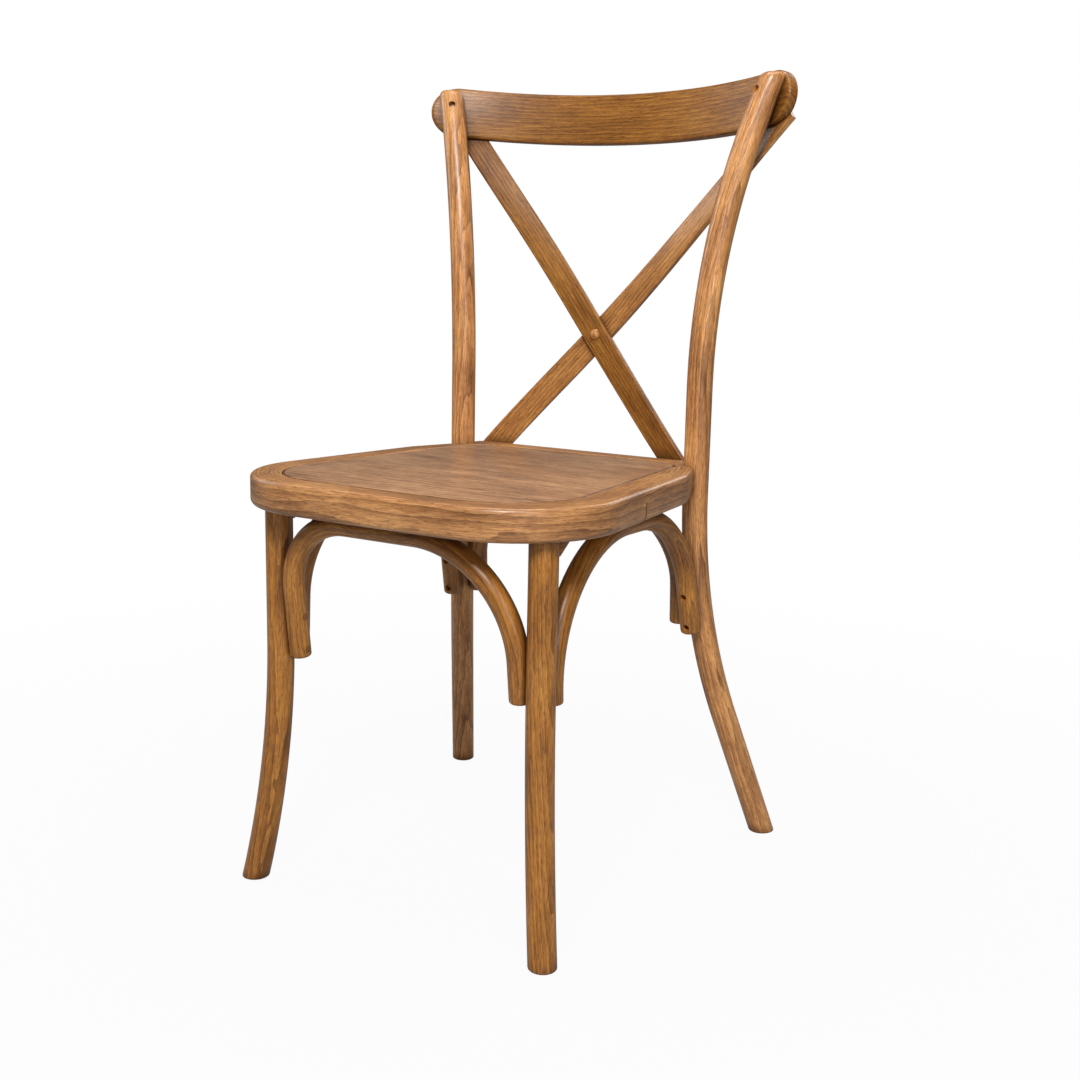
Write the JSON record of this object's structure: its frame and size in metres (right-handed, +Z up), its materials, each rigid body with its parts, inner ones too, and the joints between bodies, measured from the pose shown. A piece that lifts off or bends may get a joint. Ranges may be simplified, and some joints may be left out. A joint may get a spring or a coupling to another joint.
{
  "type": "chair",
  "caption": "Stained wooden cross back dining chair with bentwood arches under the seat, crossing back slats and a bowed crest rail",
  "frame": {"origin": "on the floor, in the middle of the chair's footprint", "axes": "+X to the right as seen from the front, +Y from the front to the back, +Z up"},
  "size_m": [0.497, 0.5273, 0.902],
  "materials": {
    "stained_elm": "satin",
    "stained_veneer": "satin",
    "plug_wood": "satin",
    "screw_steel": "satin"
  },
  "bodies": {
    "root": {"seat_front_bow": "stained_elm", "seat_rear_bow": "stained_elm", "front_leg_left": "stained_elm", "front_leg_right": "stained_elm", "back_post_left": "stained_elm", "back_post_right": "stained_elm", "crest_rail": "stained_elm", "cross_slat_front": "stained_elm", "cross_slat_rear": "stained_elm", "arch_front": "stained_elm", "arch_rear": "stained_elm", "arch_left": "stained_elm", "arch_right": "stained_elm", "corner_block_left": "stained_elm", "corner_block_right": "stained_elm", "seat_panel": "stained_veneer", "cross_button": "stained_elm", "arch_end_plugs": "plug_wood", "cross_screw": "screw_steel", "arch_end_screws": "screw_steel", "arch_seat_screws": "screw_steel", "crest_rail_screws": "screw_steel", "slat_screws": "screw_steel", "post_bolts": "screw_steel"}
  },
  "joints": []
}
